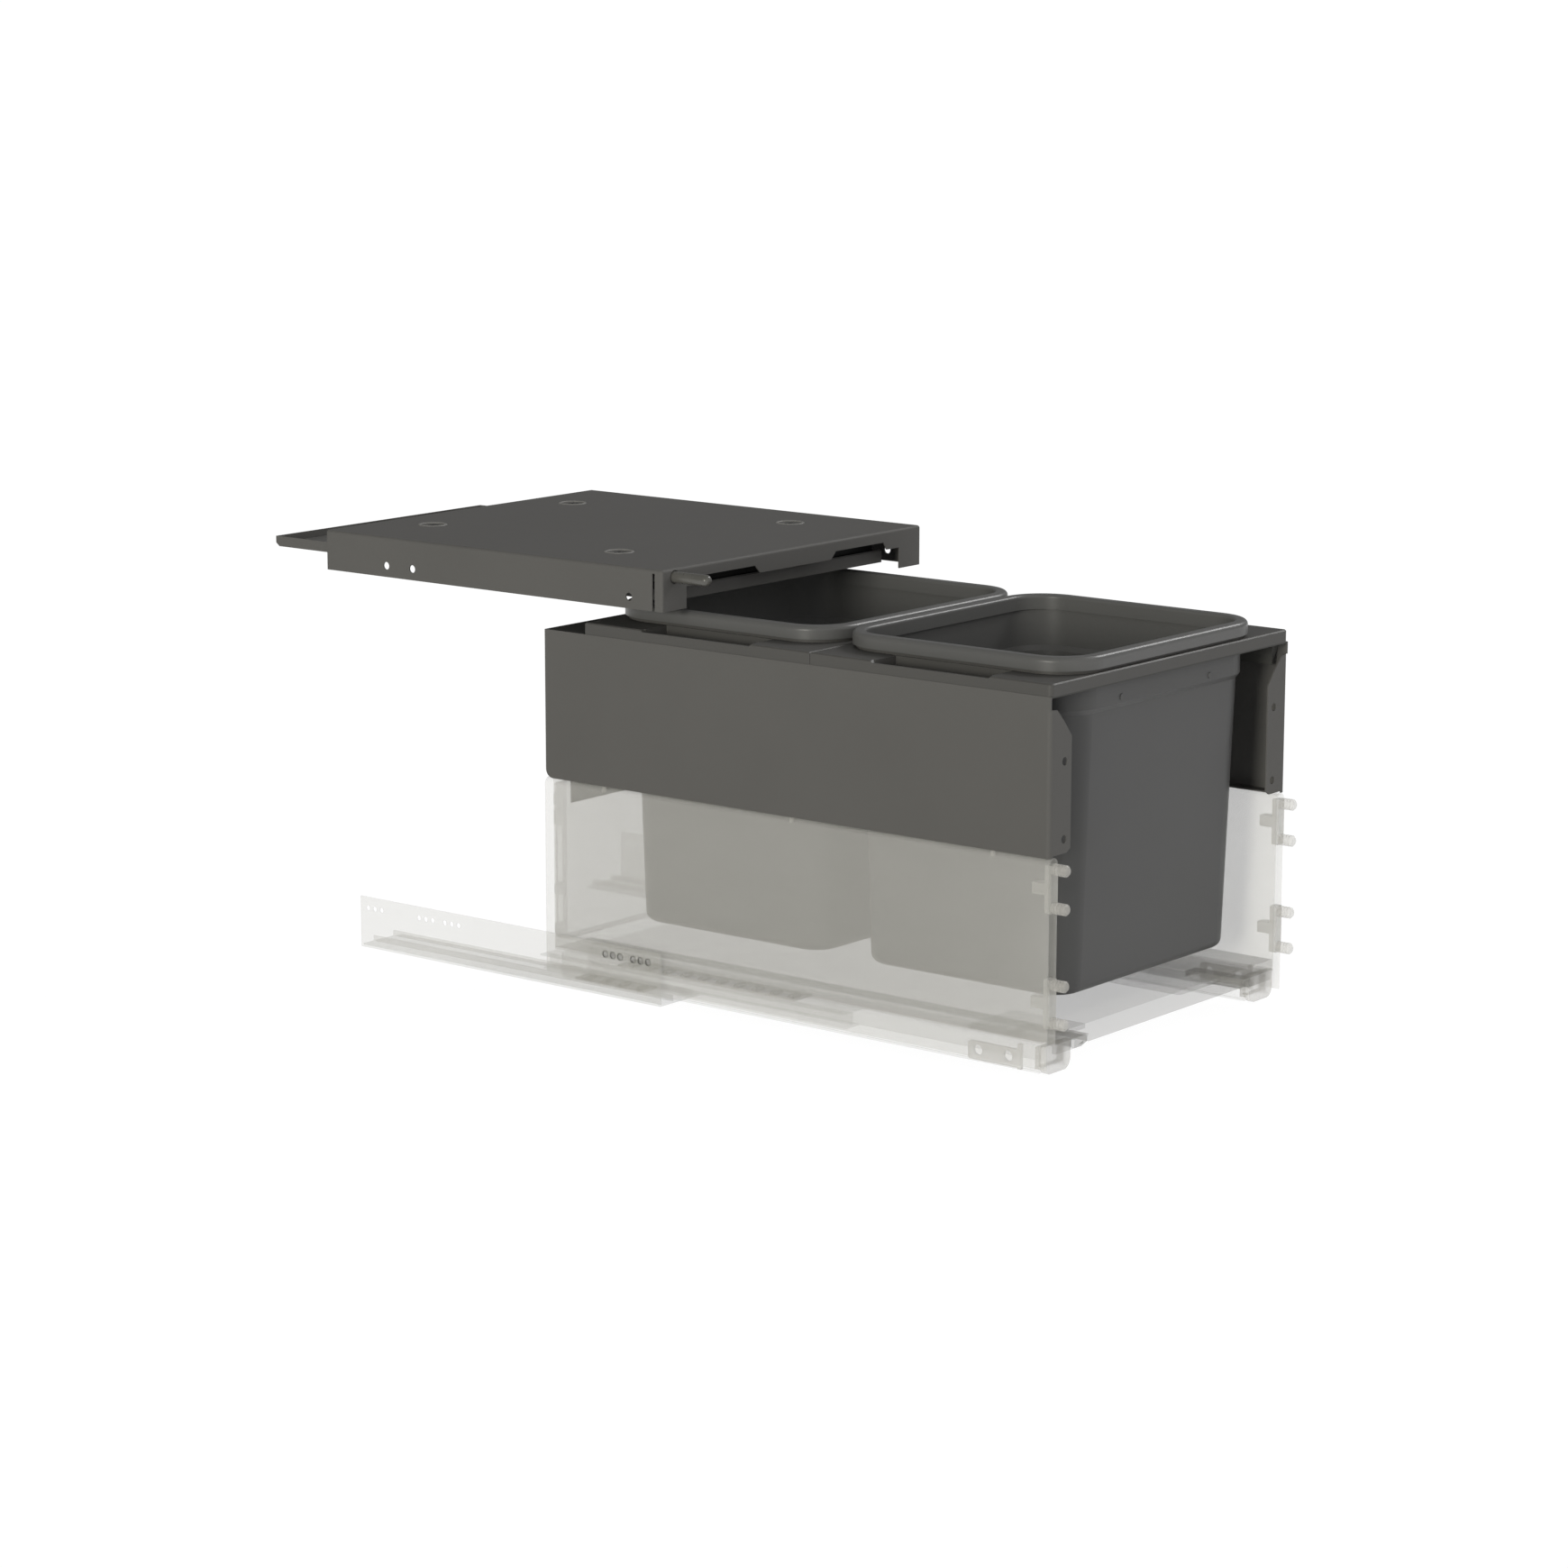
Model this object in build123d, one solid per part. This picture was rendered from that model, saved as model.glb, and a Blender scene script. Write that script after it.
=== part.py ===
from build123d import *
import os

os.makedirs("parts", exist_ok=True)

# Pull out waste cabinet, rebuilt half open. All sizes are in millimetres.
# X is the width, -Y is the way the drawer pulls out, and Z = 0 is the
# underside of the rails. The layout is written from a datum: y from the
# front edge of the bin frame's side panels, z from their top edge.
FRAME_FRONT = -426.8
PANEL_TOP = 318.7

# Lid, fixed to the cabinet
LID_HALF = 184.0
LID_FRONT = 401.5
LID_REAR = 801.2
LID_TOP = 65.5
LID_LOW = 29.2
LID_SHEET = 1.2
LID_SIDE_HOLES = (439.0, 695.0, 727.0)
LID_HOLE_Z = 39.4
FRONT_DIMPLES = (120.5, 504.5)
REAR_DIMPLES = (97.0, 751.0)

# Bin frame of folded sheet
FRAME_HALF = 177.35
SHEET = 1.2
PANEL_LENGTH = 542.4
PANEL_LOW = -132.6

# Plastic carriers and bins
CARRIER_TOP = 10.5
CARRIER_SPLIT = 246.3
CARRIER_END = 495.5
RIM_HALF = 145.5
RIM_LENGTH = 246.0
RIM_RADIUS = 43.0
BIN_FRONTS = (1.5, 253.8)
POCKET_FRONTS = (62.5, 312.0)
POCKET_LENGTH = 118.5
RIM_LOW = 13.3
RIM_TOP = 25.0
RIM_SEAT = 22.4
BIN_BOTTOM = -262.0

# Drawer box
SIDE_LENGTH = 543.8
INNER_WALL = 164.95
SIDE_LOW = -308.9
BASE_TOP = -280.0
BASE_LOW = -296.0
LEDGE_TOP = -289.3
LEDGE_LOW = -290.5

SCREW_ROW = (60.0, 270.0, 480.0)

# Rails
RAIL_LOW = -318.7
RAIL_FRONT = 405.6
RAIL_REAR = 767.0
RAIL_HOLES = (429.4, 461.4, 653.4, 685.4, 749.4)
RAIL_HOLE_Z = -281.4


def place(x, y, z):
    """A position given from the datum."""
    return Pos(x, FRAME_FRONT + y, PANEL_TOP + z)


def block(x0, x1, y0, y1, z0, z1):
    """A box between two corners."""
    middle = place((x0 + x1) / 2, (y0 + y1) / 2, (z0 + z1) / 2)
    return middle * Box(x1 - x0, y1 - y0, z1 - z0)


def rod_x(radius, x0, x1, y, z):
    return place((x0 + x1) / 2, y, z) * Rot(0, 90, 0) * Cylinder(radius, x1 - x0)


def rod_y(radius, y0, y1, x, z):
    return place(x, (y0 + y1) / 2, z) * Rot(90, 0, 0) * Cylinder(radius, y1 - y0)


def rod_z(radius, z0, z1, x, y):
    return place(x, y, (z0 + z1) / 2) * Cylinder(radius, z1 - z0)


def prism_x(points, x0, x1):
    """A solid with an outline in y and z, from x0 to x1."""
    plane = Plane(origin=(x0, FRAME_FRONT, PANEL_TOP), x_dir=(0, 1, 0), z_dir=(1, 0, 0))
    return extrude(plane * Polygon(*points, align=None), x1 - x0, dir=(1, 0, 0))


def prism_y(points, y0, y1):
    """A solid with an outline in x and z, from y0 to y1."""
    plane = Plane(
        origin=(0, FRAME_FRONT + y1, PANEL_TOP), x_dir=(1, 0, 0), z_dir=(0, -1, 0)
    )
    return extrude(plane * Polygon(*points, align=None), y1 - y0, dir=(0, -1, 0))


def slab(sketch, z0, z1):
    """A flat outline, drawn in x and y, raised from z0 to z1."""
    return extrude(place(0, 0, z0) * sketch, z1 - z0, dir=(0, 0, 1))


def rounded(half, y0, y1, radius):
    return Pos(0, (y0 + y1) / 2) * RectangleRounded(2 * half, y1 - y0, radius)


def low_edges(shape, axis):
    return shape.edges().filter_by(axis).group_by(Axis.Z)[0]


def top_edges(shape, axis):
    return shape.edges().filter_by(axis).group_by(Axis.Z)[-1]


def mirrored(shape):
    return mirror(shape, Plane.YZ)


def save(name, shape):
    shape.label = name
    export_step(shape, "parts/" + name + ".step")


def save_pair(name, shape):
    """The left piece, at negative x, and its mirror image on the right."""
    save(name + "_left", shape)
    save(name + "_right", mirrored(shape))


# ---------------------------------------------------------------- lid

def dimple(x, y):
    """A pressed cone around a screw hole, as a ring below the lid's top."""
    profile = Polygon(
        (3.3, LID_TOP - 3.2), (3.3, LID_TOP - 2.0), (5.0, LID_TOP - 2.0),
        (11.0, LID_TOP), (12.5, LID_TOP), (12.5, LID_TOP - 1.2),
        (11.3, LID_TOP - 1.2), (5.6, LID_TOP - 3.2), align=None,
    )
    plane = Plane(
        origin=(x, FRAME_FRONT + y, PANEL_TOP), x_dir=(1, 0, 0), z_dir=(0, -1, 0)
    )
    axis = Axis((x, FRAME_FRONT + y, PANEL_TOP), (0, 0, 1))
    return revolve(plane * profile, axis, 360)


def lid_cover():
    outer = block(-LID_HALF, LID_HALF, LID_FRONT, LID_REAR, LID_LOW, LID_TOP)
    outer = fillet(top_edges(outer, Axis.Y), 2.6)
    outer = fillet(top_edges(outer, Axis.X).sort_by(Axis.Y)[0], 2.6)
    inside = LID_HALF - LID_SHEET
    hollow = block(
        -inside, inside, LID_FRONT + LID_SHEET, LID_REAR + 10,
        LID_LOW - 10, LID_TOP - LID_SHEET,
    )
    hollow = fillet(top_edges(hollow, Axis.Y), 1.4)
    lid = outer - hollow
    lid -= prism_y(
        [
            (-151.5, 20), (-151.5, 48.4), (-132.9, 48.4), (-127.9, 55.4),
            (-57.5, 55.4), (-50.5, 48.4), (50.5, 48.4), (57.5, 55.4),
            (127.9, 55.4), (132.9, 48.4), (151.5, 48.4), (151.5, 20),
        ],
        LID_FRONT - 1, LID_FRONT + 2,
    )
    for side in (-1, 1):
        x0, x1 = sorted((side * 181.0, side * 186.0))
        lid -= block(x0, x1, 409.9, 412.6, 20, LID_TOP - 3.5)
        for y in LID_SIDE_HOLES:
            lid -= rod_x(3.5, x0, x1, y, LID_HOLE_Z)
        for x, y in (FRONT_DIMPLES, REAR_DIMPLES):
            lid -= rod_z(11.5, LID_TOP - 3, LID_TOP + 1, side * x, y)
            lid += dimple(side * x, y)
    lid -= rod_y(6.0, LID_FRONT - 1, LID_FRONT + 2, -167.0, 58.2)
    return lid


def lid_inner_frame():
    frame = block(-151, 151, 421.5, 425.0, 33, 42)
    frame += block(-151, 151, 425.0, 433.0, 40, 42)
    frame += block(-151, 151, 556.5, 560, 33, 42)
    frame += block(-151, 151, 503.0, 506.0, 33, 50)
    for side in (-1, 1):
        x0, x1 = sorted((side * 147.5, side * 151.0))
        frame += block(x0, x1, 421.5, 560, 33, 42)
        x, y = side * FRONT_DIMPLES[0], FRONT_DIMPLES[1]
        frame += rod_z(8, 33, LID_TOP - 3.2, x, y)
        frame -= rod_z(2.5, 40, LID_TOP, x, y)
    return frame


def lid_screws():
    """Countersunk screws in the four dimples, the rear two with nuts."""
    screws = []
    for side in (-1, 1):
        x, y = side * FRONT_DIMPLES[0], FRONT_DIMPLES[1]
        front = rod_z(4.6, LID_TOP - 2.0, LID_TOP - 0.3, x, y)
        front += rod_z(2.5, 42, LID_TOP - 2.0, x, y)
        front -= rod_z(1.6, LID_TOP - 1.3, LID_TOP, x, y)
        x, y = side * REAR_DIMPLES[0], REAR_DIMPLES[1]
        rear = rod_z(4.6, LID_TOP - 2.0, LID_TOP - 0.3, x, y)
        rear += rod_z(2.5, 54, LID_TOP - 2.0, x, y)
        rear += block(x - 4.5, x + 4.5, y - 4.5, y + 4.5, 56.4, 60.2)
        rear -= rod_z(1.6, LID_TOP - 1.3, LID_TOP, x, y)
        screws += [front, rear]
    return Compound(screws)


def damper_body():
    """The housing of the push pin, hung from the lid's underside."""
    body = rod_y(6.0, LID_FRONT + LID_SHEET + 0.1, 450, -167.0, 58.2)
    body += block(-171.5, -162.5, 404.5, 448, 58.2, LID_TOP - LID_SHEET)
    body -= rod_y(5.05, 400, 442, -167.0, 58.2)
    return body


def damper_pin():
    pin = rod_y(5.0, 367.0, 418, -167.0, 58.2)
    pin += place(-167.0, 367.0, 58.2) * Sphere(5.0)
    return pin


def lid_extension():
    """The sliding tray at the back of the lid, cut away for pipes on the right."""
    left, right, corner = -182.3, 182.3, 94.7
    front, shoulder, rear = 640.0, 790.0, 868.6
    low, floor_low, floor_top, rim = 44.7, 46.3, 47.5, 54.0
    tray = block(left, corner, front, rear, floor_low, floor_top)
    tray += block(left, right, front, shoulder, floor_low, floor_top)
    tray += block(left, left + 1.2, front, rear, low, rim)
    tray += block(left, corner, rear - 1.2, rear, low, rim)
    tray += block(corner - 1.2, corner, shoulder - 1.2, rear, floor_low, rim)
    tray += block(corner - 1.2, right, shoulder - 1.2, shoulder, floor_low, rim)
    tray += block(right - 1.2, right, front, shoulder, floor_low, rim)
    tray += block(left, right, front, front + 1.2, floor_low, 50.5)
    tray -= prism_x([(864.4, 43.5), (864.4, 44.6), (870, 49.0), (870, 43.5)], -190, 100)
    for side in (-1, 1):
        x = side * REAR_DIMPLES[0]
        y0, y1 = 708.0, 788.0
        tray -= block(x - 11, x + 11, y0 + 1.2, y1 - 1.2, 40, floor_top + 1)
        tray += block(x - 12.2, x - 11, y0, y1, floor_low, 62.0)
        tray += block(x + 11, x + 12.2, y0, y1, floor_low, 62.0)
        tray += block(x - 12.2, x + 12.2, y0, y0 + 1.2, floor_low, 62.0)
        tray += block(x - 12.2, x + 12.2, y1 - 1.2, y1, floor_low, 62.0)
        tray += block(x - 12.2, x + 12.2, y0, y1, 60.8, 62.0)
        tray -= block(x - 3.0, x + 3.0, 717.5, 785.0, 55, 63)
    return tray


# ---------------------------------------------------------------- rails

def cabinet_rail():
    """The plate screwed to the cabinet, with the channel for the lower rollers."""
    rail = block(-184, -182.5, RAIL_FRONT, RAIL_REAR, RAIL_LOW, -271.0)
    rail += block(-184, -130, RAIL_FRONT, RAIL_REAR, RAIL_LOW, RAIL_LOW + 1.5)
    rail += block(-168.0, -166.5, RAIL_FRONT, RAIL_REAR, RAIL_LOW, -311.5)
    rail += block(-141.7, -140.2, RAIL_FRONT, RAIL_REAR, RAIL_LOW, -311.5)
    rail += block(-182.5, -140.2, RAIL_REAR - 1.5, RAIL_REAR, RAIL_LOW, -316.4)
    for y in RAIL_HOLES:
        for offset in (-8.5, 0, 8.5):
            rail -= rod_x(2.5, -185, -182, y + offset, RAIL_HOLE_Z)
    return rail


def intermediate_rail():
    y0, y1 = 217.0, 560.0
    rail = block(-167.5, -141.2, y0, y1, -299.0, -297.5)
    rail += block(-155.1, -153.6, y0, y1, -311.0, -298.0)
    rail += block(-163.0, -145.7, y0, y1, -312.1, -310.6)
    return rail


def roller_cage(y0, count, pitch, half, z, radius):
    """Rollers on thin axles in the windows of a flat cage."""
    middle = -154.35
    y1 = y0 + count * pitch
    cage = block(middle - half, middle + half, y0, y1, z - 0.75, z + 0.75)
    for i in range(count):
        y = y0 + (i + 0.5) * pitch
        gap = radius + 0.5
        cage -= block(middle - 6.4, middle + 6.4, y - gap, y + gap, z - 2, z + 2)
        cage += rod_x(radius, middle - 6.0, middle + 6.0, y, z)
        cage += rod_x(0.6, middle - 7.0, middle + 7.0, y, z)
    return cage


def drawer_rail():
    """The inverted channel under the drawer box."""
    y0, y1 = 10.0, 530.0
    rail = block(-172.5, -136.2, y0, y1, -292.0, LEDGE_LOW)
    rail += block(-172.5, -171.0, y0, y1, -313.6, LEDGE_LOW)
    rail += block(-137.7, -136.2, y0, y1, -313.6, LEDGE_LOW)
    rail += block(-172.5, -169.2, y0, y1, -313.6, -312.4)
    rail += block(-139.5, -136.2, y0, y1, -313.6, -312.4)
    return rail


def rail_end_cap():
    cap = block(-172.9, -135.8, 5.0, 10.0, -315.0, LEDGE_LOW)
    cap = fillet(low_edges(cap, Axis.Y), 9)
    cap += block(-170.4, -138.3, 10.0, 16.0, -311.0, -292.6)
    cap -= block(-168.4, -140.3, 9.0, 17.0, -309.0, -294.6)
    return cap


def rail_latch():
    """The plate with two holes beside the front of the drawer rail."""
    plate = block(-175.6, -172.5, 26.5, 80.0, -311.5, -296.0)
    plate = fillet(plate.edges().filter_by(Axis.X), 2.5)
    plate += block(-175.6, -172.5, 26.5, 30.0, -312.5, -291.0)
    for y in (39.8, 70.2):
        plate -= rod_x(4.6, -177, -172, y, -303.0)
    return plate


def front_coupling():
    """The catch under the base's front corner that joins the drawer to the rail.

    Its wedge stands in front of the rail, and its lever lies under the base.
    """
    outline = [
        (-162.5, -290.6), (-118.5, -290.6), (-118.5, -295.4),
        (-127.0, -298.0), (-162.5, -298.0),
    ]
    wedge = prism_y(outline, 0.4, 4.8)
    arm = block(-135.0, -118.5, 4.0, 60.0, -298.0, -290.7)
    lever = block(-135.0, -70.0, 33.5, 110.0, -299.2, -296.1)
    lever = fillet(lever.edges().filter_by(Axis.Z).group_by(Axis.X)[-1], 5.0)
    return wedge + arm + lever


# ---------------------------------------------------------------- drawer box

def drawer_side():
    """A folded double wall with a rounded top and a ledge for the base."""
    outer = block(-FRAME_HALF, -INNER_WALL, 0, SIDE_LENGTH, SIDE_LOW, PANEL_LOW)
    outer = fillet(top_edges(outer, Axis.Y), 5.8)
    cavity = block(
        -FRAME_HALF + SHEET, -INNER_WALL - SHEET, -5, SIDE_LENGTH + 5,
        SIDE_LOW - 5, PANEL_LOW - SHEET,
    )
    cavity = fillet(top_edges(cavity, Axis.Y), 4.6)
    side = outer - cavity
    side -= block(-170, -164, -5, SIDE_LENGTH + 5, SIDE_LOW - 5, LEDGE_LOW)
    side += block(-INNER_WALL - SHEET, -117, 0, SIDE_LENGTH, LEDGE_LOW, LEDGE_TOP)
    for y in SCREW_ROW:
        side -= rod_z(2.0, PANEL_LOW - 3, PANEL_LOW + 1, -171.15, y)
    return side


def drawer_base():
    base = block(-164.9, 164.9, 0, SIDE_LENGTH, BASE_LOW, BASE_TOP)
    base -= block(-170, -116.9, -5, 550, BASE_LOW - 5, LEDGE_TOP)
    base -= block(116.9, 170, -5, 550, BASE_LOW - 5, LEDGE_TOP)
    return base


def drawer_back():
    return block(-164.9, 164.9, 529.0, 542.6, BASE_TOP, -139.0)


def rear_bracket():
    """The plate that holds the drawer's back to the side, with four hooks."""
    bracket = block(-164.9, -150.0, 542.6, SIDE_LENGTH, -280.0, -140.0)
    for z0, z1 in ((-231.0, -179.0), (-267.0, -242.0)):
        bracket -= block(-162.5, -155.0, 541, 545, z0, z1)
    for z0, z1 in ((-160.0, -150.0), (-177.5, -164.5), (-241.0, -232.5), (-276.5, -268.0)):
        bracket += block(-163.5, -151.0, SIDE_LENGTH, SIDE_LENGTH + 2.5, z0, z1)
    return bracket


def front_bracket(top, bottom, lug_top, lug_bottom):
    bracket = block(-175.9, -166.4, -1.5, 5.0, bottom, top)
    bracket += block(-175.9, -166.4, 5.0, 17.5, lug_bottom, lug_top)
    return bracket


def front_dowels():
    """Ribbed studs that press into the drawer front."""
    studs = []
    for z in (-141.6, -173.6, -237.6, -269.6):
        stud = rod_y(5.0, -15.0, -1.5, -171.2, z)
        stud = chamfer(stud.edges().sort_by(Axis.Y)[0], 1.6)
        for y in (-5.0, -8.0, -11.0):
            stud -= rod_y(5.2, y - 0.5, y + 0.5, -171.2, z) - rod_y(4.5, y - 1, y + 1, -171.2, z)
        studs.append(stud)
    return Compound(studs)


# ---------------------------------------------------------------- bin frame

def frame_side():
    outer = block(-FRAME_HALF, -147.5, 0, PANEL_LENGTH, PANEL_LOW, 0)
    corner = outer.edges().filter_by(Axis.Z).group_by(Axis.X)[0].sort_by(Axis.Y)[0]
    outer = fillet(corner, 3.5)
    hollow = block(-FRAME_HALF + SHEET, -140, SHEET, 560, PANEL_LOW - 5, 5)
    corner = hollow.edges().filter_by(Axis.Z).group_by(Axis.X)[0].sort_by(Axis.Y)[0]
    hollow = fillet(corner, 2.3)
    side = outer - hollow
    side -= prism_y(
        [
            (-180, 5), (-180, -10.6), (-177.35, -10.6), (-168.5, -11.5), (-158.5, -21.6),
            (-147.6, -35.0), (-140, -35.0), (-140, 5),
        ],
        -1, 3.6,
    )
    side += block(-FRAME_HALF, -FRAME_HALF + SHEET, 0, 3.8, -10.7, 0)
    side -= prism_y(
        [
            (-146, -127.8), (-147.5, -127.8), (-152.6, -131.0), (-172, -131.0),
            (-172, -140), (-146, -140),
        ],
        -1, 3.6,
    )
    arc_y, arc_z = PANEL_LENGTH - 8.0, PANEL_LOW + 8.0
    corner = block(-180, -140, arc_y, PANEL_LENGTH + 2, PANEL_LOW - 2, arc_z)
    side -= corner - rod_x(8.0, -181, -139, arc_y, arc_z)
    side += block(-FRAME_HALF + SHEET, -INNER_WALL, 8, 526, PANEL_LOW, PANEL_LOW + SHEET)
    for z in (-55.0, -119.2):
        side -= rod_y(3.5, -1, 3, -157.0, z)
    for y in SCREW_ROW:
        side -= rod_z(2.0, PANEL_LOW - 1, PANEL_LOW + 2, -171.15, y)
    return side


def bin_outline(front, inset):
    """The rim's outline, or one that runs inside it at an even distance."""
    return rounded(
        RIM_HALF - inset, front + inset, front + RIM_LENGTH - inset, RIM_RADIUS - inset
    )


def pocket_outline(start, x0, x1, grow):
    """The grip pocket beside a bin, in the plane of the carrier."""
    y0, y1 = start - grow, start + POCKET_LENGTH + grow
    return Pos((x0 + x1) / 2, (y0 + y1) / 2) * Rectangle(x1 - x0, y1 - y0)


def frame_top_plate():
    edge = FRAME_HALF - SHEET
    plate = block(-edge, edge, 0, PANEL_LENGTH, -SHEET, 0)
    for front, start in zip(BIN_FRONTS, POCKET_FRONTS):
        plate -= slab(bin_outline(front, 4.0), -5, 5)
        plate -= slab(pocket_outline(start, -173.6, -138, 2.4), -5, 5)
        plate -= slab(pocket_outline(start, 138, 173.6, 2.4), -5, 5)
    return plate


def corner_clip():
    """The moulded clip inside the frame's front corner, tapered on its outside."""
    outline = [(-175.9, -1.4), (-166.5, -1.4), (-166.5, -20.0), (-175.9, -5.0)]
    return prism_y(outline, 9.0, 52.0)


def frame_rear_panel():
    panel = block(-160.5, 160.5, 527.4, 528.6, -156.5, -SHEET)
    panel += block(-160.5, 160.5, 527.4, 540.0, -2 * SHEET, -SHEET)
    return panel


def carrier(y0, y1, front, start):
    """The moulded ring that a bin hangs in, with a grip pocket on each side."""
    end = start + POCKET_LENGTH
    half = FRAME_HALF - 0.45
    body = block(-half, half, y0, y1, 0, CARRIER_TOP)
    if y0 == 0:
        corners = body.edges().filter_by(Axis.Z).group_by(Axis.Y)[0]
        body = fillet(corners, 4.0)
    body = chamfer(body.faces().sort_by(Axis.Z)[-1].outer_wire().edges(), 1.0)
    hollow = block(-half + 2.4, half - 2.4, y0 + 2.4, y1 - 2.4, -1, 8.0)
    hollow -= slab(bin_outline(front, 2.6), -2, 9)
    for side in (-1, 1):
        x0, x1 = sorted((side * 138.0, side * half))
        hollow -= slab(pocket_outline(start, x0, x1, 2.2), -2, 9)
    body -= hollow
    body += slab(bin_outline(front, 3.2), 0, RIM_SEAT)
    for side in (-1, 1):
        x0, x1 = sorted((side * 141.5, side * 173.2))
        body += slab(pocket_outline(start, x0, x1, 2.0), -22.0, 1.0)
        pocket = [
            (start, 12.0), (end, 12.0), (end - 2.0, 4.0),
            (end - 20.0, -20.0), (start + 11.0, -20.0), (start + 2.0, 4.0),
        ]
        x0, x1 = sorted((side * 144.1, side * 171.4))
        body -= prism_x(pocket, x0, x1)
        x0, x1 = sorted((side * 144.1, side * 174.4))
        body -= block(x0, x1, start, end, 2.0, 12.0)
        x0, x1 = sorted((side * 172.0, side * 180.0))
        dip = [
            (start - 2.0, 10.6), (start, 8.5), (end, 8.5),
            (end + 2.0, 10.6), (end + 2.0, 12.0), (start - 2.0, 12.0),
        ]
        body -= prism_x(dip, x0, x1)
    body -= slab(bin_outline(front, 4.9), -30, 30)
    return body


def frame_screws():
    screws = []
    for side in (-1, 1):
        for y in SCREW_ROW:
            x = side * 171.15
            screw = rod_z(4.0, PANEL_LOW + SHEET, PANEL_LOW + 3.6, x, y)
            screw = chamfer(screw.edges().sort_by(Axis.Z)[-1], 1.0)
            screw += rod_z(2.0, PANEL_LOW - 6.0, PANEL_LOW + 3.0, x, y)
            screws.append(screw)
    return Compound(screws)


# ---------------------------------------------------------------- bins

def tapered(front, wall):
    """The bin's solid form below the collar, smaller by one wall."""
    collar = place(0, 0, -20.5) * bin_outline(front, 6.0 + wall)
    shoulder = place(0, 0, -25.0) * bin_outline(front, 9.5 + wall)
    floor = place(0, 0, BIN_BOTTOM + wall) * bin_outline(front, 17.5 + wall)
    form = loft([shoulder, floor])
    bottom = form.faces().sort_by(Axis.Z)[0]
    form = fillet(bottom.outer_wire().edges(), 8.0 - wall)
    return form + loft([shoulder, collar])


def waste_bin(front):
    rim = slab(bin_outline(front, 0), RIM_LOW, RIM_TOP)
    rim -= slab(bin_outline(front, 2.5), RIM_LOW - 1, RIM_SEAT)
    outer = rim + slab(bin_outline(front, 6.0), -20.5, RIM_TOP) + tapered(front, 0.0)
    rim_edge = outer.faces().sort_by(Axis.Z)[-1].outer_wire().edges()
    outer = fillet(rim_edge, 4.2)
    inner = slab(bin_outline(front, 8.6), -20.5, 12.0) + tapered(front, 2.6)
    inner += slab(bin_outline(front, 11.6), 11.0, RIM_TOP + 5)
    body = outer - inner
    top = body.faces().sort_by(Axis.Z)[-1]
    body = fillet(top.inner_wires()[0].edges(), 2.8)
    for x in (-66.0, 66.0):
        body += rod_y(2.6, front + 5.2, front + 7.0, x, -15.5)
        body += rod_y(2.6, front + RIM_LENGTH - 7.0, front + RIM_LENGTH - 5.2, x, -15.5)
    return body


save("lid_cover", lid_cover())
save("lid_inner_frame", lid_inner_frame())
save("lid_screws", lid_screws())
save("damper_body", damper_body())
save("damper_pin", damper_pin())
save("lid_extension", lid_extension())
save_pair("cabinet_rail", cabinet_rail())
save_pair("intermediate_rail", intermediate_rail())
save_pair("roller_cage_lower", roller_cage(442, 4, 20.0, 9.6, -314.65, 2.25))
save_pair("roller_cage_upper", roller_cage(270, 10, 20.0, 12.6, -294.75, 2.45))
save_pair("drawer_rail", drawer_rail())
save_pair("rail_end_cap", rail_end_cap())
save_pair("rail_latch", rail_latch())
save_pair("front_coupling", front_coupling())
save_pair("drawer_side", drawer_side())
save("drawer_base", drawer_base())
save("drawer_back", drawer_back())
save_pair("rear_bracket", rear_bracket())
save_pair("front_bracket_upper", front_bracket(-138.0, -178.0, -153.5, -163.0))
save_pair("front_bracket_lower", front_bracket(-233.0, -274.0, -248.5, -258.0))
save_pair("front_dowels", front_dowels())
save_pair("frame_side", frame_side())
save("frame_top_plate", frame_top_plate())
save_pair("corner_clip", corner_clip())
save("frame_rear_panel", frame_rear_panel())
save("carrier_front", carrier(0, CARRIER_SPLIT - 0.2, BIN_FRONTS[0], POCKET_FRONTS[0]))
save("carrier_rear", carrier(CARRIER_SPLIT + 0.2, CARRIER_END, BIN_FRONTS[1], POCKET_FRONTS[1]))
save("frame_screws", frame_screws())
save("bin_front", waste_bin(BIN_FRONTS[0]))
save("bin_rear", waste_bin(BIN_FRONTS[1]))
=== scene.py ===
import math

import bmesh
import bpy
from mathutils import Euler, Matrix, Vector


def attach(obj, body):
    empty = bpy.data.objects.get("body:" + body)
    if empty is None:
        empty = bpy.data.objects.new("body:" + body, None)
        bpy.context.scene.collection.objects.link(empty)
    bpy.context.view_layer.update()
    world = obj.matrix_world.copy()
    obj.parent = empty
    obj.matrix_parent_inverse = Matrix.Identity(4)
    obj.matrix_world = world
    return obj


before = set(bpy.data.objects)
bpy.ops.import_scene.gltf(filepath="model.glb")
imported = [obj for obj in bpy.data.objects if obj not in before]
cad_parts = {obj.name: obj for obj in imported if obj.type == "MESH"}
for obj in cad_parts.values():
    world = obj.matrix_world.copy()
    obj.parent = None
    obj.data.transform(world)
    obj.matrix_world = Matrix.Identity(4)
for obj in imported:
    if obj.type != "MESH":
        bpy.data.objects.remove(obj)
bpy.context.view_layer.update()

# Pull out waste cabinet, half open. The scene is in metres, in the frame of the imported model:
# X is the width, the drawer pulls out along -Y, Z is up. Finishes and pieces are sized in mm.
MM = 0.001

# ---------------------------------------------------------------- view and light

CAMERA_PLACE = (-2.9230, -2.3464, 0.9178)
CAMERA_AZIMUTH = 51.386
CAMERA_DROP = 11.329
CAMERA_ROLL = 0.083
IMAGE_SIDE = 1740.0
FOCAL_PIXELS = 4714.0
SENSOR = 36.0
NEAREST, FARTHEST = 0.05, 400.0

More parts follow.
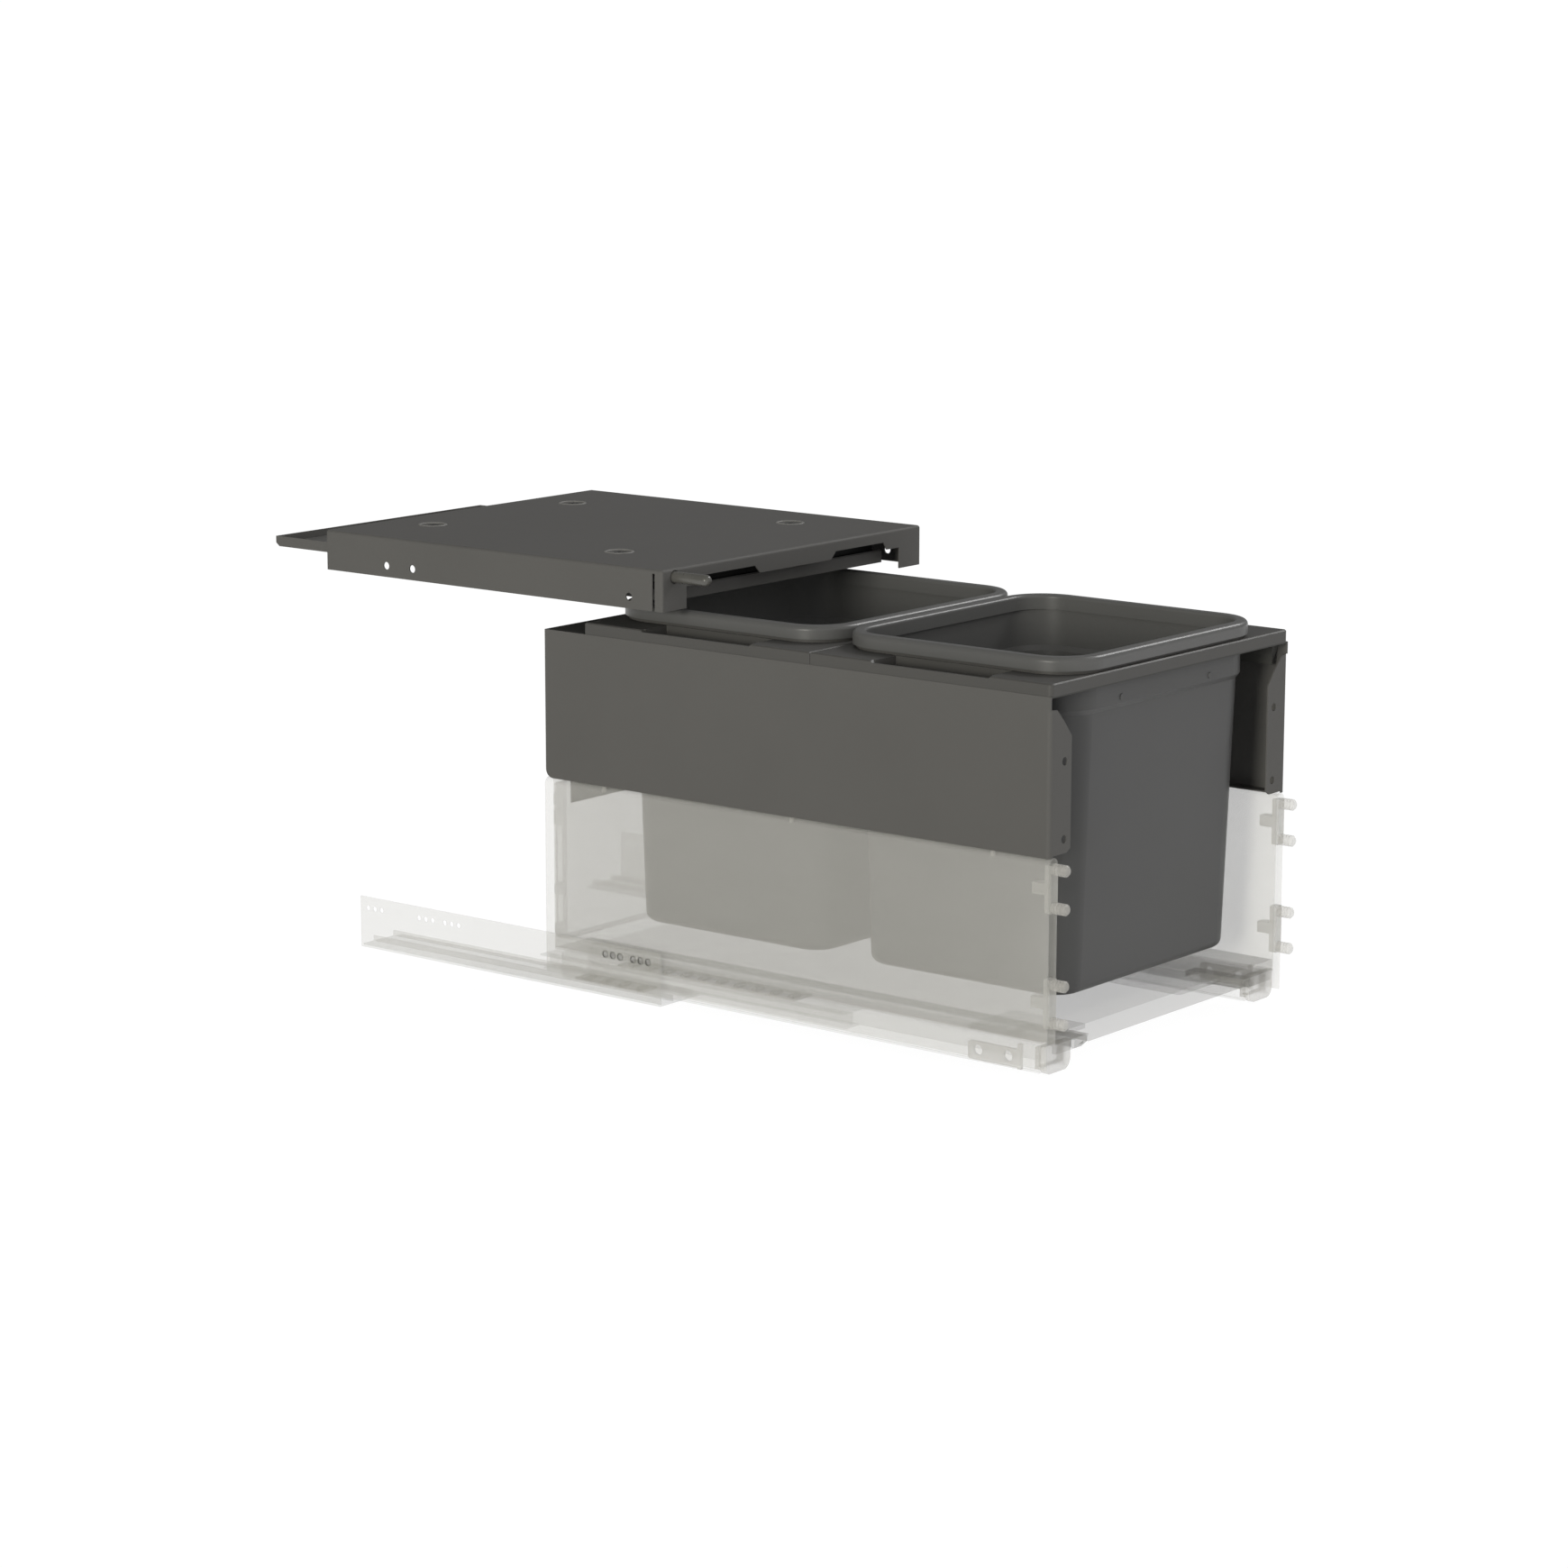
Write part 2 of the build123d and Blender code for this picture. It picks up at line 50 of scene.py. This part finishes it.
# Each lamp: name, the direction it shines in, strength, softening angle in degrees, colour.
LAMPS = (
    ("lamp_left", (0.97, 0.15, -0.15), 1.56, 16.0, "#fffdf3"),
    ("lamp_front", (0.05, 0.97, -0.25), 0.88, 90.0, "#ffffff"),
    ("lamp_top", (-0.77, 0.18, -0.60), 1.20, 15.0, "#ffffff"),
)
ROOM_LIGHT = 0.224
WHITE = (1.0, 1.0, 1.0, 1.0)

FLOOR_HALF = 150.0
FLOOR_HEIGHT = -0.5 * MM
# The floor is mostly this white to the camera, and the rest of it takes the shadow.
FLOOR_WHITE_SHARE = 0.9
FLOOR_WHITE = 1.08


def add_camera():
    data = bpy.data.cameras.new("camera")
    data.sensor_width = SENSOR
    data.lens = SENSOR * FOCAL_PIXELS / IMAGE_SIDE
    data.clip_start = NEAREST
    data.clip_end = FARTHEST
    camera = bpy.data.objects.new("camera", data)
    bpy.context.scene.collection.objects.link(camera)
    tilt = Euler((math.radians(90.0 - CAMERA_DROP), 0.0, -math.radians(CAMERA_AZIMUTH)), "XYZ")
    roll = Matrix.Rotation(math.radians(CAMERA_ROLL), 3, "Z")
    camera.location = CAMERA_PLACE
    camera.rotation_euler = (tilt.to_matrix() @ roll).to_euler()
    bpy.context.scene.camera = camera


def add_lamp(name, direction, strength, softness, colour):
    """A soft studio lamp that shines along the given direction."""
    data = bpy.data.lights.new(name, "SUN")
    data.energy = strength
    data.color = linear(colour)[:3]
    data.angle = math.radians(softness)
    lamp = bpy.data.objects.new(name, data)
    lamp.rotation_euler = Vector(direction).to_track_quat("-Z", "Y").to_euler()
    bpy.context.scene.collection.objects.link(lamp)


# ---------------------------------------------------------------- nodes

def linear(code):
    """An sRGB hex colour as linear red, green, blue and a full alpha."""
    channels = []
    for i in (1, 3, 5):
        value = int(code[i:i + 2], 16) / 255.0
        channels.append(value / 12.92 if value <= 0.04045 else ((value + 0.055) / 1.055) ** 2.4)
    return (*channels, 1.0)


def add_node(tree, kind, settings=None, **links):
    """A node with its settings, and its inputs set to values or linked to sockets.

    An input is named as Blender names it, with _ for a space, or i and its number.
    """
    node = tree.nodes.new(kind)
    for key, value in (settings or {}).items():
        setattr(node, key, value)
    for key, value in links.items():
        numbered = key[1:].isdigit()
        socket = node.inputs[int(key[1:])] if numbered else node.inputs[key.replace("_", " ")]
        if isinstance(value, bpy.types.NodeSocket):
            tree.links.new(value, socket)
        else:
            socket.default_value = value
    return node


def new_material(name):
    material = bpy.data.materials.new(name)
    material.use_nodes = True
    tree = material.node_tree
    tree.nodes.clear()
    output = add_node(tree, "ShaderNodeOutputMaterial")
    return material, tree, output


def tone_colour(tree, tone, low, high):
    """From one sRGB colour to the other, as a noise goes through its middling values."""
    ramp = add_node(tree, "ShaderNodeValToRGB", Fac=tone)
    for element, place, code in zip(ramp.color_ramp.elements, TONE_RANGE, (low, high)):
        element.position = place
        element.color = linear(code)
    return ramp.outputs["Color"]


def lit_polished_share(tree, place, centre_mm):
    """How far a bin's surface is its rim or its inside, painted lighter and smoother: above a
    height, or turned to its centre.
    """
    height = add_node(tree, "ShaderNodeSeparateXYZ", Vector=place).outputs["Z"]
    rim = add_node(
        tree, "ShaderNodeMapRange", Value=height, i1=BIN_RIM_MM * MM, i2=(BIN_RIM_MM + 1.0) * MM,
    ).outputs["Result"]
    outward = add_node(
        tree, "ShaderNodeVectorMath", {"operation": "MULTIPLY_ADD"},
        i0=place, i1=(1.0, 1.0, 0.0), i2=(0.0, -centre_mm * MM, 0.0),
    ).outputs[0]
    facing = add_node(
        tree, "ShaderNodeVectorMath", {"operation": "DOT_PRODUCT"},
        i0=outward, i1=add_node(tree, "ShaderNodeNewGeometry").outputs["Normal"],
    ).outputs["Value"]
    inside = add_node(
        tree, "ShaderNodeMapRange",
        Value=facing, i1=BIN_INSIDE_MM[0] * MM, i2=BIN_INSIDE_MM[1] * MM,
    ).outputs["Result"]
    return add_node(
        tree, "ShaderNodeMath", {"operation": "MAXIMUM"}, i0=rim, i1=inside,
    ).outputs[0]


def seen_by(tree, *kinds):
    """1 where the ray is of one of these kinds, such as Camera or Glossy, and else 0."""
    rays = add_node(tree, "ShaderNodeLightPath").outputs
    seen, *others = (rays["Is " + kind + " Ray"] for kind in kinds)
    for other in others:
        seen = add_node(
            tree, "ShaderNodeMath", {"operation": "MAXIMUM"}, i0=seen, i1=other,
        ).outputs[0]
    return seen


# ---------------------------------------------------------------- materials

# The values of a noise over which the tone and the roughness go from low to high.
TONE_RANGE = (0.35, 0.65)
CLOUD_RANGE = (0.3, 0.7)
GRAIN_SHARE = 0.35
ROUGHNESS_DRIFT = 0.04
RELIEF_STRENGTH = 0.5
# A drawn streak's width as a share of its length, which lies along Y.
STREAK_SHARE = 0.05
CLEAR_SPECULAR = 0.15
# A bin is its rolled rim above this height. A face is the bin's inside as its distance from the
# bin's middle, taken along the face's normal, goes from the first of these to the second.
# Rim and inside are painted lighter than the rest, as painted light.
BIN_RIM_MM = 331.5
BIN_INSIDE_MM = (-5.0, -25.0)
# The bins' middles along Y.
BIN_CENTRES_MM = {"front": -302.3, "rear": -50.0}
# The front coupling's wedge, as distances from the middle of the object; its lever is clearer.
WEDGE_BAND_MM = (117.5, 137.0)


def surface(name, low, high, roughness, cloud_mm, grain_mm, depth_mm, lit_polish=None, **sockets):
    """A coated or moulded surface: a tone that drifts slowly, and a fine grain in its relief.

    For a bin, one more argument gives its centre, two lighter colours for its rim and inside,
    which are painted light, and their lower roughness, from the mould's polished steel.
    """
    material, tree, output = new_material(name)
    place = add_node(tree, "ShaderNodeTexCoord").outputs["Object"]
    cloud = add_node(
        tree, "ShaderNodeTexNoise", Vector=place,
        Scale=1.0 / (cloud_mm * MM), Detail=3.0, Roughness=0.55,
    ).outputs["Fac"]
    grain = add_node(
        tree, "ShaderNodeTexNoise", Vector=place,
        Scale=1.0 / (grain_mm * MM), Detail=2.0, Roughness=0.6,
    ).outputs["Fac"]
    tone = add_node(
        tree, "ShaderNodeMix", {"data_type": "FLOAT"}, i0=GRAIN_SHARE, i2=cloud, i3=grain,
    ).outputs[0]
    colour = tone_colour(tree, tone, low, high)
    rough = add_node(
        tree, "ShaderNodeMapRange", Value=cloud, i1=CLOUD_RANGE[0], i2=CLOUD_RANGE[1],
        i3=roughness - ROUGHNESS_DRIFT, i4=roughness + ROUGHNESS_DRIFT,
    ).outputs["Result"]
    if lit_polish:
        centre_mm, lit_low, lit_high, smooth_roughness = lit_polish
        share = lit_polished_share(tree, place, centre_mm)
        colour = add_node(
            tree, "ShaderNodeMix", {"data_type": "RGBA"},
            i0=share, i6=colour, i7=tone_colour(tree, tone, lit_low, lit_high),
        ).outputs[2]
        rough = add_node(
            tree, "ShaderNodeMix", {"data_type": "FLOAT"}, i0=share, i2=rough, i3=smooth_roughness,
        ).outputs[0]
    relief = add_node(
        tree, "ShaderNodeBump",
        Strength=RELIEF_STRENGTH, Distance=depth_mm * MM, Height=grain,
    ).outputs["Normal"]
    shader = add_node(
        tree, "ShaderNodeBsdfPrincipled",
        Base_Color=colour, Roughness=rough, Normal=relief, **sockets,
    )
    tree.links.new(shader.outputs[0], output.inputs["Surface"])
    return material


def see_through(name, low, high, alpha, roughness, streak_mm, clearer=None, band_mm=None):
    """A pale sheet that shows what is behind it, with a faint drawn streak.

    It may be clearer on upright faces, or outside a band of distances from the middle.
    """
    material, tree, output = new_material(name)
    place = add_node(tree, "ShaderNodeTexCoord").outputs["Object"]
    fine = 1.0 / (streak_mm * MM)
    drawn = add_node(
        tree, "ShaderNodeMapping", Vector=place, Scale=(fine, STREAK_SHARE * fine, fine),
    ).outputs[0]
    streak = add_node(
        tree, "ShaderNodeTexNoise", Vector=drawn, Scale=1.0, Detail=2.0,
    ).outputs["Fac"]
    colour = tone_colour(tree, streak, low, high)
    if clearer:
        vector, axis = place, "X"
        if not band_mm:
            vector, axis = add_node(tree, "ShaderNodeNewGeometry").outputs["Normal"], "Z"
        part = add_node(tree, "ShaderNodeSeparateXYZ", Vector=vector).outputs[axis]
        full = add_node(tree, "ShaderNodeMath", {"operation": "ABSOLUTE"}, i0=part).outputs[0]
        if band_mm:
            inner, outer = band_mm
            full = add_node(
                tree, "ShaderNodeMath", {"operation": "COMPARE"},
                i0=full, i1=(inner + outer) / 2.0 * MM, i2=(outer - inner) / 2.0 * MM,
            ).outputs[0]
        alpha = add_node(
            tree, "ShaderNodeMix", {"data_type": "FLOAT"}, i0=full, i2=clearer, i3=alpha,
        ).outputs[0]
    shader = add_node(
        tree, "ShaderNodeBsdfPrincipled",
        Base_Color=colour, Roughness=roughness, Alpha=alpha, Specular_IOR_Level=CLEAR_SPECULAR,
    )
    tree.links.new(shader.outputs[0], output.inputs["Surface"])
    return material


# Coated and moulded finishes: two sRGB colours, roughness, and in mm the width of the slow
# drift, the width of the grain and its depth. Each grain is coarser than the real one so that
# it shows.
SURFACES = {
    # Steel with an anthracite powder coat, baked on. The powder flows into a fine, even grain
    # that keeps the gloss low.
    "powder_coat_anthracite": (
        ("#605f5d", "#636260", 0.58, 110.0, 0.9, 0.05), {"Specular_IOR_Level": 0.14},
    ),
    # The same coat darkened as painted shade, on the frame's top plate and rear panel.
    "powder_coat_painted_shade": (
        ("#4d4d4b", "#50504e", 0.62, 110.0, 0.9, 0.05), {"Specular_IOR_Level": 0.12},
    ),
    # The coat painted lighter where it stands up round the dimples, as a painted highlight on the
    # beads, and smoother there.
    "powder_coat_painted_highlight": (
        ("#7d7c79", "#848380", 0.40, 20.0, 0.8, 0.03), {"Specular_IOR_Level": 0.3},
    ),
    # Polypropylene moulded in an eroded mould: satin, with a fine even grain.
    "polypropylene_carrier": (
        ("#504f4d", "#535250", 0.48, 90.0, 0.7, 0.03), {"Specular_IOR_Level": 0.25},
    ),
    # Glass filled nylon, dark and dull, for the corner clips and the damper's housing.
    "nylon_dark": (
        ("#494946", "#4d4d4a", 0.55, 30.0, 0.6, 0.03), {"Specular_IOR_Level": 0.25},
    ),
    # Black, as painted shade, for the wall that shows only as a dark gap below the lid: a dark
    # sheet where there is deep shadow.
    "painted_shade_black": (
        ("#1b1b1a", "#1f1f1e", 0.6, 30.0, 0.6, 0.03), {"Specular_IOR_Level": 0.1},
    ),
    # Acetal, smoother than the rest, for the push pin.
    "acetal_grey": (
        ("#565551", "#5b5a56", 0.28, 20.0, 0.5, 0.01), {"Specular_IOR_Level": 0.5},
    ),
    # Black zinc on the screws: dark metal with a low sheen.
    "black_zinc": (
        ("#2b2b29", "#343432", 0.38, 6.0, 0.4, 0.01), {"Metallic": 0.6},
    ),
}
# The bins' polypropylene, with its rim and inside painted lighter as painted light, and smoother
# from polished steel.
BIN_COAT = ("#505050", "#535352", 0.44, 110.0, 0.7, 0.03)
BIN_LIT_POLISH = ("#5f5f5e", "#626261", 0.36)

# The drawer box and its rails are drawn see-through, so that the bins show: two sRGB colours,
# alpha of one face, roughness, and in mm the width of the streak, again coarser than the real.
SEE_THROUGH = {
    # Painted sheet steel of the drawer's sides: pale and even, with the rolling's faint streaks.
    "clear_sheet": ("#dbdad6", "#e1e0dc", 0.195, 0.5, 3.0),
    # Coated board of the back: the whitest face of the drawer box.
    "clear_back": ("#f8f7f3", "#fcfbf7", 0.25, 0.6, 4.0),
    # Painted sheet steel of the cabinet rails: their tall plate shows as an even pale band.
    "clear_plate": ("#cdccc6", "#d4d3cd", 0.17, 0.4, 2.0),
    # The same sheet in the moving rails, clearer because several of its folds lie in a row.
    "clear_rail": ("#cdccc6", "#d4d3cd", 0.13, 0.4, 2.0),
    # Moulded fittings and the frame's screws: small and thick, so they look milky.
    "clear_fitting": ("#dcdad5", "#e2e0db", 0.34, 0.2, 2.0),
    # Painted plate of the front brackets, the densest piece on the drawer's sides.
    "clear_bracket": ("#cfcec9", "#d6d5d0", 0.4, 0.3, 2.0),
    # Painted plate of the rear brackets and their hooks, greyer than the sheet before them.
    "clear_hook": ("#b4b3ae", "#bab9b4", 0.2, 0.4, 2.0),
    # Dark rings round the rail's holes, the darkest marks on the rails.
    "clear_mark": ("#42413e", "#484744", 0.6, 0.4, 2.0),
}


def make_materials():
    made = {name: surface(name, *values, **sockets) for name, (values, sockets) in SURFACES.items()}
    for place, centre_mm in BIN_CENTRES_MM.items():
        name = "polypropylene_bin_" + place
        made[name] = surface(name, *BIN_COAT, (centre_mm, *BIN_LIT_POLISH), Specular_IOR_Level=0.3)
    made.update((name, see_through(name, *values)) for name, values in SEE_THROUGH.items())
    # Coated board of the base: darker than the sheet, and clearer on its sawn edges.
    made["clear_board"] = see_through(
        "clear_board", "#95928b", "#9b9891", 0.31, 0.6, 4.0, clearer=0.13,
    )
    # Painted metal of the front coupling: its wedge is dense, and its thin lever is clearer.
    made["clear_catch"] = see_through(
        "clear_catch", "#8d8c86", "#94938d", 0.34, 0.4, 2.0, clearer=0.14, band_mm=WEDGE_BAND_MM,
    )
    return made


# The finish of each CAD node whose name begins so. The frame under the lid is moulded, and it
# is as matt and grey as the lid's coat.
FINISHES = {
    "lid_cover": "powder_coat_anthracite",
    "lid_extension": "powder_coat_anthracite",
    "lid_inner_frame": "powder_coat_anthracite",
    "lid_screws": "black_zinc",
    "damper_body": "nylon_dark",
    "damper_pin": "acetal_grey",
    "frame_side": "powder_coat_anthracite",
    # The top plate and rear panel take the coat darkened as painted shade.
    "frame_top_plate": "powder_coat_painted_shade",
    "frame_rear_panel": "powder_coat_painted_shade",
    "frame_screws": "clear_fitting",
    "corner_clip": "nylon_dark",
    "carrier": "polypropylene_carrier",
    "bin_front": "polypropylene_bin_front",
    "bin_rear": "polypropylene_bin_rear",
    "drawer_side": "clear_sheet",
    "drawer_base": "clear_board",
    "drawer_back": "clear_back",
    "cabinet_rail": "clear_plate",
    "intermediate_rail": "clear_rail",
    "drawer_rail": "clear_rail",
    "roller_cage": "clear_fitting",
    "rail_end_cap": "clear_fitting",
    "rail_latch": "clear_fitting",
    "front_coupling": "clear_catch",
    "front_dowels": "clear_fitting",
    "rear_bracket": "clear_hook",
    "front_bracket": "clear_bracket",
}


def finish_nodes(materials):
    for name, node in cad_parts.items():
        start = max((key for key in FINISHES if name.startswith(key)), key=len)
        node.data.materials.clear()
        node.data.materials.append(materials[FINISHES[start]])


def add_floor():
    """A plain pale floor: white to the camera and to reflections, with a trace of the shadow."""
    material, tree, output = new_material("studio_floor")
    seen = seen_by(tree, "Camera", "Glossy", "Transmission")
    share = add_node(
        tree, "ShaderNodeMath", {"operation": "MULTIPLY"}, i0=seen, i1=FLOOR_WHITE_SHARE,
    )
    matt = add_node(tree, "ShaderNodeBsdfDiffuse", Color=linear("#f4f4f4"))
    white = add_node(tree, "ShaderNodeEmission", Color=WHITE, Strength=FLOOR_WHITE)
    mixed = add_node(
        tree, "ShaderNodeMixShader", i0=share.outputs[0], i1=matt.outputs[0], i2=white.outputs[0],
    )
    tree.links.new(mixed.outputs[0], output.inputs["Surface"])
    corners = ((-1, -1), (1, -1), (1, 1), (-1, 1))
    mesh = bpy.data.meshes.new("floor")
    mesh.from_pydata(
        [(x * FLOOR_HALF, y * FLOOR_HALF, FLOOR_HEIGHT) for x, y in corners], [], [(0, 1, 2, 3)],
    )
    mesh.materials.append(material)
    floor = bpy.data.objects.new("floor", mesh)
    bpy.context.scene.collection.objects.link(floor)


def set_world(level):
    """Light from all round at a low level, and white where the camera sees past the floor."""
    world = bpy.data.worlds.new("studio")
    bpy.context.scene.world = world
    world.use_nodes = True
    tree = world.node_tree
    tree.nodes.clear()
    output = add_node(tree, "ShaderNodeOutputWorld")
    seen = seen_by(tree, "Camera", "Transmission")
    soft = add_node(tree, "ShaderNodeBackground", Color=WHITE, Strength=level)
    white = add_node(tree, "ShaderNodeBackground", Color=WHITE, Strength=1.0)
    mixed = add_node(
        tree, "ShaderNodeMixShader", i0=seen, i1=soft.outputs[0], i2=white.outputs[0],
    )
    tree.links.new(mixed.outputs[0], output.inputs["Surface"])


# ---------------------------------------------------------------- pieces

# The layout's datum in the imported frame: y from the frame's front edge, z from its top edge.
FRAME_FRONT = -426.8
PANEL_TOP = 318.7

LID_TOP = 65.5
DIMPLES = [(side * x, y, LID_TOP) for side in (-1, 1) for x, y in ((120.5, 504.5), (97.0, 751.0))]
# Radius and height of the rolled bead round a dimple, over the lid's top.
BEAD = ((10.6, -0.3), (11.1, 0.4), (12.1, 0.75), (13.1, 0.4), (13.7, -0.3))

# The two front groups of three holes in each rail's plate.
RAIL_GROUPS = (429.4, 461.4)
RAIL_HOLE_STEP = 8.5
RAIL_HOLE_Z = -281.4
# The plate's outer face, as a distance from the middle of the object, and its thickness.
RAIL_OUTSIDE = 184.0
RAIL_PLATE = 1.5
# Radius and height of the dark ring round a punched hole, over the plate's inner face.
DARK_RING = ((2.45, -0.05), (2.45, 0.3), (2.8, 0.35), (3.2, 0.12), (3.4, -0.05))
DARK_RING_HEIGHT = 0.3


def at(x, y, z):
    """A place given in mm from the datum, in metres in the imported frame."""
    return Vector((x * MM, (FRAME_FRONT + y) * MM, (PANEL_TOP + z) * MM))


def ring(profile, axis, segments=48):
    """A closed ring: radii and heights in mm, turned about an axis through the origin."""
    mesh = bmesh.new()
    loops = []
    for i in range(segments):
        angle = 2.0 * math.pi * i / segments
        loop = []
        for radius, height in profile:
            a, b, h = radius * math.cos(angle) * MM, radius * math.sin(angle) * MM, height * MM
            loop.append(mesh.verts.new((h, a, b) if axis == "x" else (a, b, h)))
        loops.append(loop)
    for one, two in zip(loops, loops[1:] + loops[:1]):
        for k in range(len(profile)):
            mesh.faces.new((one[k], two[k], two[k - 1], one[k - 1]))
    return mesh


def skirt(mesh, one, two):
    """The faces between two equal closed loops of points."""
    for k in range(len(one)):
        n = (k + 1) % len(one)
        mesh.faces.new((one[k], one[n], two[n], two[k]))


def to_object(name, mesh, material, smooth=True):
    """A mesh object from a bmesh, with its normals turned outward."""
    bmesh.ops.recalc_face_normals(mesh, faces=mesh.faces)
    for face in mesh.faces:
        face.smooth = smooth
    data = bpy.data.meshes.new(name)
    mesh.to_mesh(data)
    mesh.free()
    data.materials.append(material)
    piece = bpy.data.objects.new(name, data)
    bpy.context.scene.collection.objects.link(piece)
    return piece


def repeat_tree():
    """A node group that sets one object on every point of a mesh and makes it all one mesh."""
    tree = bpy.data.node_groups.new("set_on_points", "GeometryNodeTree")
    kinds = (
        ("Points", "NodeSocketGeometry"),
        ("Unit", "NodeSocketObject"),
        ("Finish", "NodeSocketMaterial"),
    )
    for name, kind in kinds:
        tree.interface.new_socket(name, in_out="INPUT", socket_type=kind)
    tree.interface.new_socket("Result", in_out="OUTPUT", socket_type="NodeSocketGeometry")
    given = add_node(tree, "NodeGroupInput").outputs
    unit = add_node(tree, "GeometryNodeObjectInfo", Object=given["Unit"])
    spread = add_node(
        tree, "GeometryNodeInstanceOnPoints",
        Points=given["Points"], Instance=unit.outputs["Geometry"],
    )
    real = add_node(tree, "GeometryNodeRealizeInstances", Geometry=spread.outputs["Instances"])
    finished = add_node(
        tree, "GeometryNodeSetMaterial",
        Geometry=real.outputs["Geometry"], Material=given["Finish"],
    )
    add_node(tree, "NodeGroupOutput", Result=finished.outputs["Geometry"])
    return tree


def repeat(name, tree, unit, places, material):
    """One piece that holds a copy of the unit at each place."""
    points = bpy.data.meshes.new(name + "_points")
    points.from_pydata(places, [], [])
    holder = bpy.data.objects.new(name + "_holder", points)
    bpy.context.scene.collection.objects.link(holder)
    modifier = holder.modifiers.new("repeat", "NODES")
    modifier.node_group = tree
    values = {"Unit": unit, "Finish": material}
    for socket in tree.interface.items_tree:
        if socket.item_type == "SOCKET" and socket.name in values:
            modifier[socket.identifier] = values[socket.name]
    bpy.context.view_layer.update()
    shown = holder.evaluated_get(bpy.context.evaluated_depsgraph_get())
    data = bpy.data.meshes.new_from_object(shown)
    data.name = name
    piece = bpy.data.objects.new(name, data)
    bpy.context.scene.collection.objects.link(piece)
    holder.modifiers.remove(modifier)
    bpy.data.objects.remove(holder)
    bpy.data.meshes.remove(points)
    return piece


def add_dimple_beads(tree, materials):
    """The low rolled bead round each of the lid's four dimples."""
    # The beads take the lighter coat, a painted highlight.
    material = materials["powder_coat_painted_highlight"]
    unit = to_object("bead", ring(BEAD, "z"), material)
    piece = repeat("lid_dimple_beads", tree, unit, [at(*place) for place in DIMPLES], material)
    bpy.data.objects.remove(unit)
    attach(piece, "cabinet_fixed")


def add_rail_rims(tree, materials):
    """A dark ring round each front hole in the two rail plates."""
    material = materials["clear_mark"]
    unit = to_object("burr", ring(DARK_RING, "x", 24), material)
    inner = RAIL_OUTSIDE - RAIL_PLATE
    for x, name in ((-inner, "left"), (inner - DARK_RING_HEIGHT, "right")):
        dark_rings = [
            at(x, y + step * RAIL_HOLE_STEP, RAIL_HOLE_Z)
            for y in RAIL_GROUPS for step in (-1, 0, 1)
        ]
        piece = repeat("rail_hole_rims_" + name, tree, unit, dark_rings, material)
        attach(piece, "cabinet_fixed")
    bpy.data.objects.remove(unit)


def add_strip(materials):
    """The folded edge that stands on the inner frame's front wall."""
    half = 151.0
    front, back = 421.5, 424.9
    low, high = 42.02, 44.6
    turn = 1.2
    section = [
        (front, low), (front, high - turn), (front + turn, high),
        (back - turn, high), (back, high - turn), (back, low),
    ]
    mesh = bmesh.new()
    ends = [[mesh.verts.new(at(x, y, z)) for y, z in section] for x in (-half, half)]
    skirt(mesh, *ends)
    for end in ends:
        mesh.faces.new(end)
    piece = to_object("lid_inner_strip", mesh, materials["powder_coat_anthracite"], smooth=False)
    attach(piece, "cabinet_fixed")


def add_shade_wall(materials):
    """A black wall behind the lid's front cut-outs, with a short wing at each end: painted shade
    for the deep shadow seen through them.
    """
    half, wall = 150.6, 1.6
    front, back = 427.6, 500.0
    low, high = 42.05, 64.1
    corner, inner_corner, turn = 6.0, 6.4, 1.8
    outer = [
        (half, back), (half, front + corner), (half - turn, front + turn), (half - corner, front),
    ]
    inner = [
        (half - wall, back), (half - wall, front + inner_corner),
        (half - turn - wall, front + turn + wall), (half - inner_corner, front + wall),
    ]
    mirrored = [[(-x, y) for x, y in line] for line in (outer, inner)]
    outline = mirrored[0] + outer[::-1] + inner + mirrored[1][::-1]
    count = len(outline)
    mesh = bmesh.new()
    levels = [[mesh.verts.new(at(x, y, z)) for x, y in outline] for z in (low, high)]
    skirt(mesh, *levels)
    for k in range(count // 2 - 1):
        for level in levels:
            mesh.faces.new((level[k], level[k + 1], level[count - 2 - k], level[count - 1 - k]))
    piece = to_object("lid_baffle", mesh, materials["painted_shade_black"], smooth=False)
    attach(piece, "cabinet_fixed")


# ---------------------------------------------------------------- scene

bpy.context.scene.view_settings.view_transform = "Standard"
# Up to forty see-through faces lie behind each other, and the last ones would turn black.
bpy.context.scene.cycles.transparent_max_bounces = 64
add_camera()
set_world(ROOM_LIGHT)
for lamp_values in LAMPS:
    add_lamp(*lamp_values)
add_floor()
MATERIALS = make_materials()
finish_nodes(MATERIALS)
REPEAT = repeat_tree()
add_dimple_beads(REPEAT, MATERIALS)
add_rail_rims(REPEAT, MATERIALS)
add_strip(MATERIALS)
add_shade_wall(MATERIALS)
